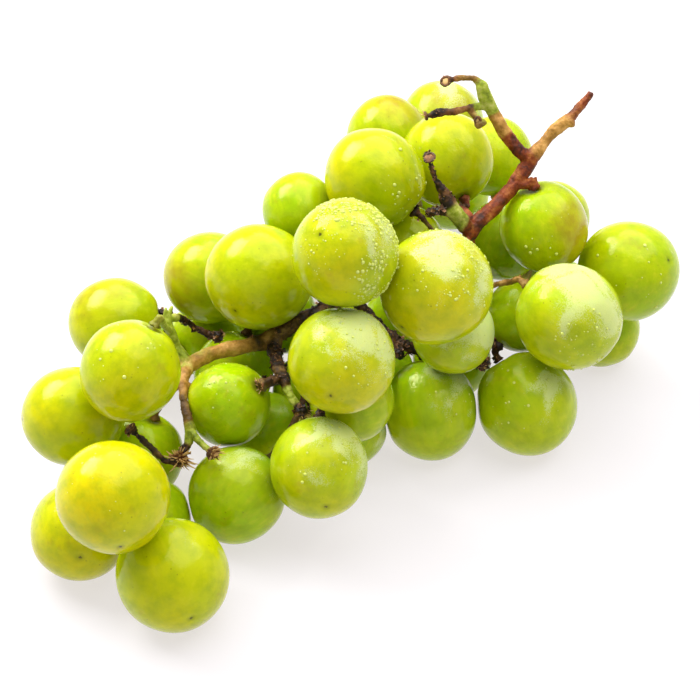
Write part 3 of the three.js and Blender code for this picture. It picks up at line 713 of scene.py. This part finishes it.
def stem_bark():
    """Fibrous bark whose kind changes along the stem, as the marks stored on it say."""
    material, tree, output = new_material("vine_bark")
    place = add(tree, "ShaderNodeTexCoord").outputs["Object"]
    names = ("fresh", "dead", "tan", "rust")
    marks = {name: add(tree, ATTRIBUTE, attribute_name=name).outputs["Fac"] for name in names}
    mottle = add(
        tree, NOISE, {"Vector": place, "Scale": 380.0, "Detail": 6.0, "Roughness": 0.65}
    ).outputs[0]
    blots = add(tree, NOISE, {"Vector": place, "Scale": 170.0, "Detail": 3.0, "Distortion": 0.6}).outputs[0]
    brown = bark_browns(tree, mottle, "#33240c", "#6e5220", "#a48a4a")
    rust = bark_browns(tree, mottle, "#341008", "#7a3209", "#aa692a")
    tan = bark_browns(tree, mottle, "#7a5418", "#aa7c34", "#d8a45c")
    green = bark_browns(tree, mottle, "#5c6a0c", "#93a028", "#c2c069")
    black = bark_browns(tree, mottle, "#0c0602", "#241408", "#6a4420")

    # How much of each kind of bark shows, with a blotched edge, over the kinds before it.
    shown = brown
    for name, low, high, kind in (
        ("rust", 0.6, 1.1, rust),
        ("tan", 0.7, 1.15, tan),
        ("fresh", 0.7, 1.1, green),
        ("dead", 0.8, 1.15, black),
    ):
        edge = add(tree, MATH, {0: blots, 1: 0.9, 2: marks[name]}, "MULTIPLY_ADD")
        share = add(
            tree, RANGE, {"Value": edge, "From Min": low, "From Max": high}, interpolation_type="SMOOTHSTEP"
        )
        shown = add(tree, MIX, {"Factor": share, "A": shown, "B": kind}, data_type="RGBA")
    fibres = add(tree, NOISE, {"Vector": place, "Scale": 1300.0, "Detail": 4.0})
    relief = add(tree, BUMP, {"Strength": 0.7, "Distance": mm(0.4), "Height": fibres})
    rough = add(tree, RANGE, {"Value": mottle, "To Min": 0.35, "To Max": 0.7})
    bark = add(
        tree,
        SURFACE,
        {"Base Color": shown, "Roughness": rough, "Specular IOR Level": 0.25, "Normal": relief},
    )
    add_surface(tree, bark, output)
    return material


def torn_fibre():
    """Dark where it leaves the stalk and pale straw at its tip."""
    material, tree, output = new_material("torn_vine_fibre")
    tip = add(tree, ATTRIBUTE, attribute_name="tip").outputs["Fac"]
    place = add(tree, "ShaderNodeTexCoord").outputs["Object"]
    mottle = add(tree, NOISE, {"Vector": place, "Scale": 900.0, "Detail": 4.0})
    varied = add(tree, MATH, {0: mottle, 1: 0.8, 2: tip}, "MULTIPLY_ADD")
    shades = add(tree, RAMP, {"Fac": varied})
    shades.color_ramp.elements[0].position = 0.35
    shades.color_ramp.elements[0].color = colour("#1c0e05")
    shades.color_ramp.elements[1].position = 1.0
    shades.color_ramp.elements[1].color = colour("#d8b070")
    shades.color_ramp.elements.new(0.68).color = colour("#7a4a1c")
    rough = add(tree, RANGE, {"Value": mottle, "To Min": 0.5, "To Max": 0.8})
    fibre = add(tree, SURFACE, {"Base Color": shades, "Roughness": rough})
    add_surface(tree, fibre, output)
    return material


def bark_tree(material):
    """Bark: swollen where marked, uneven all over, and gnarled where it is dead."""
    tree, given = new_tree("bark", {"Geometry": ["Wood"], "Float": ["Ridge Height"]})
    place = add(tree, PLACE)
    dead = add(tree, STORED, {"Name": "dead"})
    swell = add(tree, STORED, {"Name": "swell"})
    coarse = add(tree, NOISE, {"Vector": place, "Scale": 330.0, "Detail": 3.0})
    fine = add(tree, NOISE, {"Vector": place, "Scale": 1300.0, "Detail": 2.0})
    both = add(tree, MATH, {0: fine, 1: 0.4, 2: coarse}, "MULTIPLY_ADD")
    centred = add(tree, MATH, {0: both, 1: 0.66}, "SUBTRACT")
    gnarled = add(tree, MATH, {0: dead, 1: 2.2, 2: 1.0}, "MULTIPLY_ADD")
    height = add(tree, MATH, {0: gnarled, 1: given["Ridge Height"]}, "MULTIPLY")
    rise = add(tree, MATH, {0: centred, 1: height, 2: swell}, "MULTIPLY_ADD")
    outward = add(tree, VECTOR_MATH, {0: add(tree, "GeometryNodeInputNormal"), "Scale": rise}, "SCALE")
    barked = add(tree, SET_PLACE, {"Geometry": given["Wood"], "Offset": outward})
    finish_tree(tree, barked, material)
    return tree


def flake_tree(material):
    """Small curled flakes that lift off dead bark."""
    tree, given = new_tree("flakes", {"Geometry": ["Bark"], "Float": ["Density", "Smallest", "Largest"]})
    dead = add(tree, STORED, {"Name": "dead"})
    place = add(tree, PLACE)
    patches = add(tree, NOISE, {"Vector": place, "Scale": 420.0})
    varied = add(tree, MATH, {0: patches, 1: 0.6, 2: dead}, "MULTIPLY_ADD")
    share = add(tree, RANGE, {"Value": varied, "From Min": 0.85, "From Max": 1.3})
    density = add(tree, MATH, {0: share, 1: given["Density"]}, "MULTIPLY")
    scattered = add(tree, SCATTER, {"Mesh": given["Bark"], "Density": density, "Seed": 3})
    sheet = add(
        tree, "GeometryNodeMeshGrid", {"Size X": 1.0, "Size Y": 2.2, "Vertices X": 3, "Vertices Y": 5}
    )
    parts = add(tree, SEPARATE, {0: place})
    lengthwise = add(tree, MATH, {0: parts.outputs["Y"], 1: 2.0}, "POWER")
    across = add(tree, MATH, {0: parts.outputs["X"], 1: 2.0}, "POWER")
    curl = add(tree, MATH, {0: lengthwise, 1: 0.35, 2: across}, "MULTIPLY_ADD")
    narrow = add(tree, MATH, {0: parts.outputs["Y"], 1: -0.3}, "MULTIPLY")
    narrowed = add(tree, MATH, {0: narrow, 1: parts.outputs["X"]}, "MULTIPLY")
    lift = add(tree, COMBINE, {0: narrowed, 2: curl})
    curled = add(tree, SET_PLACE, {"Geometry": sheet, "Offset": lift})
    tip = add(tree, RANGE, {"Value": parts.outputs["Y"], "From Min": 0.2, "From Max": 1.1, "To Max": 0.45})
    tipped = add(tree, STORE, {"Geometry": curled, "Name": "tip", "Value": tip})
    tilt = add(tree, RANDOM, {0: (-0.25, -0.25, -3.1), 1: (0.45, 0.25, 3.1)}, data_type="FLOAT_VECTOR")
    turned = add(
        tree, "FunctionNodeRotateRotation", {0: scattered.outputs["Rotation"], 1: tilt},
        rotation_space="LOCAL",
    )
    size = add(tree, RANDOM, {"Min": given["Smallest"], "Max": given["Largest"], "Seed": 5})
    flakes = add(
        tree,
        COPY_TO_POINTS,
        {"Points": scattered.outputs["Points"], "Instance": tipped, "Rotation": turned, "Scale": size},
    )
    finish_tree(tree, flakes, material)
    return tree


def torn_tree(material):
    """A plucked end: an uneven dark rim round a pale middle, and fibres pulled out of the berry."""
    tree, given = new_tree(
        "torn_end",
        {
            "Geometry": ["End"],
            "Vector": ["Way"],
            "Float": ["Width", "Fibre Length", "Spread", "Paleness"],
            "Int": ["Fibres", "Seed"],
        },
    )
    turn = add(tree, ALIGN, {"Vector": given["Way"]}, axis="Z")
    place = add(tree, PLACE)
    radius = add(tree, MATH, {0: given["Width"], 1: 0.5}, "MULTIPLY")

    # The rim and the middle.
    circle = add(tree, CIRCLE, {"Resolution": 18, "Radius": radius})
    shift = add(tree, VECTOR_MATH, {0: place, 1: given["Way"]}, "ADD")
    ragged = add(tree, NOISE, {"Vector": shift, "Scale": 700.0}).outputs[1]
    centred = add(tree, VECTOR_MATH, {0: ragged, 1: (0.5, 0.5, 0.5)}, "SUBTRACT")
    jag = add(tree, VECTOR_MATH, {0: centred, "Scale": mm(1.6)}, "SCALE")
    uneven = add(tree, SET_PLACE, {"Geometry": circle, "Offset": jag})
    lip = add(tree, CIRCLE, {"Resolution": 6, "Radius": mm(0.34)})
    rim = add(tree, SWEEP, {"Curve": uneven, "Profile Curve": lip})
    dark_rim = add(tree, STORE, {"Geometry": rim, "Name": "tip", "Value": 0.12})
    ball = add(tree, BALL, {"Segments": 12, "Rings": 7, "Radius": radius})
    disc = add(tree, TRANSFORM, {"Geometry": ball, "Scale": (0.95, 0.95, 0.3)})
    pale = add(tree, STORE, {"Geometry": disc, "Name": "tip", "Value": given["Paleness"]})
    cup = add(tree, JOIN, {0: dark_rim})
    tree.links.new(pale.outputs[0], cup.inputs[0])
    turned_cup = add(tree, TRANSFORM, {"Geometry": cup, "Rotation": turn})
    seated = add(tree, COPY_TO_POINTS, {"Points": given["End"], "Instance": turned_cup})

    # A fibre: bent, thinning to its tip.
    line = add(tree, "GeometryNodeCurvePrimitiveLine", {1: (0.0, 0.0, 1.0)})
    stepped = add(tree, "GeometryNodeResampleCurve", {"Curve": line, "Count": 6})
    factor = add(tree, "GeometryNodeSplineParameter").outputs["Factor"]
    bend = add(tree, MATH, {0: factor, 1: 2.0}, "POWER")
    bent = add(tree, MATH, {0: bend, 1: 0.4}, "MULTIPLY")
    aside = add(tree, COMBINE, {0: bent})
    curved = add(tree, SET_PLACE, {"Geometry": stepped, "Offset": aside})
    tipped = add(tree, STORE, {"Geometry": curved, "Name": "tip", "Value": factor})
    thinning = add(tree, RANGE, {"Value": factor, "To Min": 0.11, "To Max": 0.03})
    profile = add(tree, CIRCLE, {"Resolution": 5, "Radius": 1.0})
    strand = add(tree, SWEEP, {"Curve": tipped, "Profile Curve": profile, "Scale": thinning})

    copies = add(
        tree, "GeometryNodeDuplicateElements", {"Geometry": given["End"], "Amount": given["Fibres"]},
        domain="POINT",
    )
    index = copies.outputs["Duplicate Index"]
    turns = add(tree, MATH, {0: index, 1: GOLDEN_ANGLE}, "MULTIPLY")
    luck = add(tree, RANDOM, {"ID": index, "Seed": given["Seed"]})
    cosine = add(tree, MATH, {0: turns}, "COSINE")
    sine = add(tree, MATH, {0: turns}, "SINE")
    lean = add(tree, MATH, {0: luck, 1: given["Spread"]}, "MULTIPLY")
    around = add(tree, COMBINE, {0: cosine, 1: sine})
    leaning = add(tree, VECTOR_MATH, {0: around, "Scale": lean}, "SCALE")
    way = add(tree, VECTOR_MATH, {0: leaning, 1: (0.0, 0.0, 0.6)}, "ADD")
    world_way = add(tree, ROTATE_VECTOR, {"Vector": way, "Rotation": turn})
    fibre_turn = add(tree, ALIGN, {"Vector": world_way}, axis="Z")
    inset = add(tree, MATH, {0: luck, 1: radius}, "MULTIPLY")
    foot = add(tree, VECTOR_MATH, {0: around, "Scale": inset}, "SCALE")
    world_foot = add(tree, ROTATE_VECTOR, {"Vector": foot, "Rotation": turn})
    placed = add(tree, SET_PLACE, {"Geometry": copies.outputs["Geometry"], "Offset": world_foot})
    stretch = add(tree, RANDOM, {"Min": 0.4, "Max": 1.0, "ID": index, "Seed": 11})
    length = add(tree, MATH, {0: stretch, 1: given["Fibre Length"]}, "MULTIPLY")
    fibres = add(
        tree,
        COPY_TO_POINTS,
        {"Points": placed, "Instance": strand, "Rotation": fibre_turn, "Scale": length},
    )
    everything = add(tree, JOIN, {0: seated})
    tree.links.new(fibres.outputs[0], everything.inputs[0])
    finish_tree(tree, everything, material)
    return tree


def smooth_stem():
    """The stem's solid, merged, remeshed finely and smoothed."""
    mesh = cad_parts["stem"].data.copy()
    form = bmesh.new()
    form.from_mesh(mesh)
    bmesh.ops.remove_doubles(form, verts=form.verts, dist=1e-6)
    form.to_mesh(mesh)
    form.free()
    wood = bpy.data.objects.new("stem_wood", mesh)
    bpy.context.scene.collection.objects.link(wood)
    fine = wood.modifiers.new("fine", "REMESH")
    fine.mode = "VOXEL"
    fine.voxel_size = mm(BARK_VOXEL)
    rounded = wood.modifiers.new("rounded", "SMOOTH")
    rounded.factor = 0.5
    rounded.iterations = 4
    graph = bpy.context.evaluated_depsgraph_get()
    smooth = bpy.data.meshes.new_from_object(wood.evaluated_get(graph), depsgraph=graph)
    bpy.data.objects.remove(wood)
    return smooth


stem_surface = BVHTree.FromPolygons(
    [v.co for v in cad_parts["stem"].data.vertices],
    [p.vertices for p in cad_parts["stem"].data.polygons],
)


def on_stem(across, down):
    """The place on the stem that is nearest the camera near a place in the picture."""
    best = None
    for ring in range(SEARCH_STEPS):
        for turn in range(SEARCH_STEPS):
            angle = turn * math.tau / SEARCH_STEPS
            way = sight(across + ring * math.cos(angle), down + ring * math.sin(angle))
            hit = stem_surface.ray_cast(eye, way)[0]
            if hit is not None and (best is None or (hit - eye).length < (best - eye).length):
                best = hit
        if best is not None:
            return best
    raise ValueError(f"no stem shows near {across}, {down}")


# Marks along the stem: where each shows in the picture, how fresh, dead, tan and rusty its bark is there,
# and how far it swells.
STEM_MARKS = {
    "cut end": ((589, 95), 0.0, 0.4, 0.1, 0.9, 0.35),
    "above the knuckle": ((574, 113), 0.0, 0.15, 0.35, 0.6, 0.2),
    "knuckle": ((561, 125), 0.0, 0.0, 0.9, 0.3, 0.45),
    "below the knuckle": ((543, 144), 0.0, 0.15, 0.5, 0.8, 0.25),
    "top fork": ((524, 170), 0.0, 0.3, 0.1, 1.0, 0.2),
    "thick stem": ((497, 203), 0.0, 0.35, 0.0, 1.0, 0.15),
    "middle fork": ((476, 224), 0.05, 0.45, 0.0, 0.8, 0.1),
    "upper branch foot": ((514, 145), 0.0, 0.42, 0.1, 1.0, 0.2),
    "upper branch": ((500, 125), 0.2, 0.1, 0.8, 0.3, 0.3),
    "upper branch top": ((488, 101), 1.0, 0.0, 0.3, 0.0, 0.35),
    "bare stalk": ((465, 79), 0.3, 0.25, 0.5, 0.3, 0.1),
    "bare stalk end": ((447, 81), 0.0, 0.5, 0.3, 0.6, 0.0),
    "dried stalk": ((458, 111), 0.0, 0.5, 0.4, 0.5, 0.2),
    "dried stalk end": ((432, 114), 0.0, 0.7, 0.2, 0.4, 0.1),
    "middle branch": ((456, 215), 0.65, 0.35, 0.3, 0.0, 0.1),
    "middle branch top": ((447, 197), 0.3, 0.75, 0.2, 0.0, 0.2),
    "middle stalk": ((430, 165), 0.0, 0.85, 0.0, 0.0, 0.0),
    "middle stalk side": ((432, 212), 0.2, 0.95, 0.0, 0.0, 0.1),
    "front stalk": ((502, 283), 0.2, 0.4, 0.5, 0.0, 0.1),
    "lower front stalk": ((500, 347), 0.0, 0.65, 0.0, 0.5, 0.1),
    "lower front stub": ((484, 360), 0.0, 1.0, 0.0, 0.0, 0.2),
    "stem behind the ridge": ((294, 324), 0.15, 0.65, 0.4, 0.2, 0.3),
    "stem before the fork": ((264, 342), 0.25, 0.5, 0.5, 0.0, 0.45),
    "stem near the tip": ((235, 349), 0.35, 0.05, 1.0, 0.0, 0.5),
    "tip fork": ((200, 359), 0.3, 0.0, 1.0, 0.0, 0.5),
    "hanging branch top": ((275, 350), 0.0, 0.9, 0.0, 0.3, 0.2),
    "hanging branch knot": ((282, 375), 0.0, 0.72, 0.1, 0.4, 0.3),
    "hanging branch": ((291, 396), 0.9, 0.2, 0.0, 0.0, 0.1),
    "hanging branch end": ((302, 411), 0.0, 0.9, 0.2, 0.0, 0.2),
    "tip branch top": ((184, 380), 0.1, 0.4, 0.6, 0.2, 0.15),
    "tip branch": ((185, 412), 0.1, 0.55, 0.35, 0.3, 0.1),
    "tip branch fork": ((190, 430), 0.6, 0.1, 0.6, 0.0, 0.2),
    "tip side stalk": ((203, 444), 0.8, 0.1, 0.3, 0.0, 0.1),
    "tip side end": ((212, 453), 0.0, 0.7, 0.3, 0.0, 0.1),
    "tip branch end": ((181, 457), 0.0, 0.8, 0.3, 0.0, 0.2),
    "tip bare stalk": ((150, 447), 0.1, 0.6, 0.3, 0.0, 0.1),
    "tip bare stalk end": ((133, 431), 0.0, 0.85, 0.1, 0.0, 0.1),
    "far branch": ((176, 344), 0.8, 0.05, 0.3, 0.0, 0.2),
    "far branch top": ((168, 326), 0.8, 0.1, 0.5, 0.0, 0.2),
    "far dark stalk": ((192, 325), 0.1, 0.8, 0.0, 0.0, 0.1),
    "far dark stalk end": ((215, 335), 0.0, 0.95, 0.0, 0.0, 0.2),
    "ridge branch": ((404, 345), 0.0, 0.85, 0.0, 0.0, 0.1),
}

# Between its marks the bark is a blend of the nearest ones.
wood = smooth_stem()
stem_points = np.array([v.co for v in wood.vertices])
weights = np.full(len(stem_points), 1e-3)
far_from_marks = {"fresh": 0.55, "dead": 0.25, "tan": 0.4, "rust": 0.1, "swell": 0}
sums = {name: weights * value for name, value in far_from_marks.items()}
for (across, down), *values in STEM_MARKS.values():
    away = np.linalg.norm(stem_points - np.array(on_stem(across, down)), axis=1) / mm(MARK_REACH)
    near = 1 / (0.05 + away**4)
    weights += near
    for name, value in zip(sums, values):
        sums[name] += near * (mm(value) if name == "swell" else value)
for name, total in sums.items():
    stored = wood.attributes.new(name, "FLOAT", "POINT")
    stored.data.foreach_set("value", (total / weights).astype(np.float32))

stem = grow("grown_stem", wood, bark_tree(stem_bark()), {"Ridge Height": mm(BARK_RIDGES)})
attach(stem, "root")
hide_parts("stem")

fibre_material = torn_fibre()
flake_grower = flake_tree(fibre_material)
# Loose bark: pieces to the square centimetre, and the smallest and largest size
for name, per_cm2, smallest, largest in (("bark_flakes", 150, 0.14, 0.42), ("bark_flaps", 26, 0.45, 0.95)):
    flakes = grow(
        name,
        stem.data.copy(),
        flake_grower,
        {"Density": per_cm2 * PER_CM2, "Smallest": mm(smallest), "Largest": mm(largest)},
    )
    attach(flakes, "root")

# The way some plucked ends face: to the right, above and towards the camera
FACED = {
    "upper_bare_stalk": (-0.45, 0.1, 0.85),
    "middle_bare_stalk": (-0.2, 0.45, 0.85),
    "upper_stub": (0.1, -0.4, 0.9),
    "tip": (-0.15, -0.6, 0.8),
    "tip_side_stalk": (0.45, -0.5, 0.75),
    "branch_scar": (-0.1, 0.5, 0.85),
}
# Plucked ends: where each shows in the picture, its width, fibres, their length, spread and paleness
TORN_ENDS = {
    "upper_bare_stalk": ((445, 81), 2.1, 4, 0.7, 0.9, 0.75),
    "upper_stub": ((478, 121), 1.7, 3, 0.6, 0.9, 0.6),
    "dried_stalk": ((431, 114), 1.2, 9, 1.5, 0.9, 0.2),
    "middle_bare_stalk": ((429, 158), 2.3, 6, 0.9, 1.0, 0.25),
    "hanging_branch": ((303, 411), 1.9, 16, 1.9, 1.2, 0.15),
    "hanging_side_stub": ((265, 385), 1.7, 12, 1.7, 1.2, 0.15),
    "lower_front_stub": ((483, 362), 1.9, 12, 1.6, 1.2, 0.1),
    "tip": ((181, 458), 2.8, 46, 3.2, 1.3, 0.4),
    "tip_side_stalk": ((213, 453), 2.6, 24, 2.0, 1.1, 0.3),
    "tip_bare_stalk": ((132, 431), 2.5, 10, 1.3, 1.0, 0.15),
    "far_dark_stalk": ((216, 336), 1.9, 14, 1.6, 1.2, 0.1),
    "ridge_stub": ((401, 351), 1.9, 10, 1.3, 1.1, 0.5),
    "branch_scar": ((253, 338), 1.3, 7, 0.9, 1.2, 1.0),
}
torn_grower = torn_tree(fibre_material)
for seed, (name, ((across, down), width, fibres, length, spread, paleness)) in enumerate(TORN_ENDS.items()):
    # The stalk's last few millimetres give its direction.
    touched = np.array(on_stem(across, down))
    near = stem_points[np.linalg.norm(stem_points - touched, axis=1) < mm(STALK_END_REACH)]
    middle = near.mean(0)
    axis = np.linalg.svd(near - middle, full_matrices=False)[2][0]
    axis *= np.sign((touched - middle) @ axis) or 1
    reach = ((near - middle) @ axis).max()
    tip_points = near[(near - middle) @ axis > reach - mm(STALK_TIP)]
    end_mesh = bpy.data.meshes.new("end_of_" + name)
    end_mesh.from_pydata([Vector(touched if name in FACED else tip_points.mean(0))], [], [])
    torn = grow(
        "torn_" + name,
        end_mesh,
        torn_grower,
        {
            "Way": in_picture(FACED[name]) if name in FACED else Vector(axis),
            "Width": mm(width),
            "Fibres": fibres,
            "Fibre Length": mm(length),
            "Spread": spread,
            "Paleness": paleness,
            "Seed": seed,
        },
    )
    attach(torn, "root")

# The floor, the light and the camera.


def floor_paint():
    """A white light table: the glow from below keeps the shadows pale."""
    material, tree, output = new_material("white_light_table")
    grain = add(tree, NOISE, {"Vector": add(tree, "ShaderNodeTexCoord").outputs["Object"], "Scale": 900.0})
    rough = add(tree, RANGE, {"Value": grain, "To Min": 0.75, "To Max": 0.9})
    board = add(
        tree,
        SURFACE,
        {
            "Base Color": colour("#8a8a8c"),
            "Roughness": rough,
            "Specular IOR Level": 0.1,
            "Emission Color": colour("#fbf4f6"),
            "Emission Strength": 0.68,
        },
    )
    add_surface(tree, board, output)
    # The table is large, so that rays find it without aiming for it.
    material.cycles.emission_sampling = "NONE"
    return material


floor_mesh = bpy.data.meshes.new("floor")
edge = mm(FLOOR_HALF_WIDTH)
floor_corners = [(-edge, -edge, 0), (edge, -edge, 0), (edge, edge, 0), (-edge, edge, 0)]
floor_mesh.from_pydata(floor_corners, [], [(0, 1, 2, 3)])
floor_mesh.materials.append(floor_paint())
floor = bpy.data.objects.new("floor", floor_mesh)
bpy.context.scene.collection.objects.link(floor)

world = bpy.data.worlds.new("studio")
world.use_nodes = True
world.node_tree.nodes.clear()
sky = add(world.node_tree, "ShaderNodeBackground", {"Color": colour("#ffffff"), "Strength": 0.6})
add_surface(world.node_tree, sky, add(world.node_tree, "ShaderNodeOutputWorld"))
bpy.context.scene.world = world


def softbox(name, way, distance, width, height, power):
    """A soft light that faces the bunch. way is (right, up, towards the camera along the floor)."""
    light = bpy.data.lights.new(name, "AREA")
    light.shape = "RECTANGLE"
    light.size = width
    light.size_y = height
    light.energy = power
    lamp = bpy.data.objects.new(name, light)
    towards = (right * way[0] + Vector((0, 0, 1)) * way[1] - level_ahead * way[2]).normalized()
    lamp.location = mm(AIM) + towards * distance
    lamp.rotation_mode = "QUATERNION"
    lamp.rotation_quaternion = towards.to_track_quat("Z", "Y")
    bpy.context.scene.collection.objects.link(lamp)


softbox("key", (-0.59, 0.72, -0.42), 0.95, 0.6, 0.4, 10.5)
softbox("overhead", (0.2, 1.0, -0.3), 1.15, 1.7, 1.6, 27)

camera_data = bpy.data.cameras.new("camera")
camera_data.sensor_width = SENSOR_WIDTH
camera_data.lens = SENSOR_WIDTH * PIXELS_PER_MM * VIEW_DISTANCE / PICTURE_SIZE
camera_data.clip_end = 100
camera = bpy.data.objects.new("camera", camera_data)
camera.location = eye
camera.rotation_mode = "QUATERNION"
camera.rotation_quaternion = ahead.to_track_quat("-Z", "Y")
bpy.context.scene.collection.objects.link(camera)
bpy.context.scene.camera = camera
bpy.context.scene.view_settings.view_transform = "Standard"
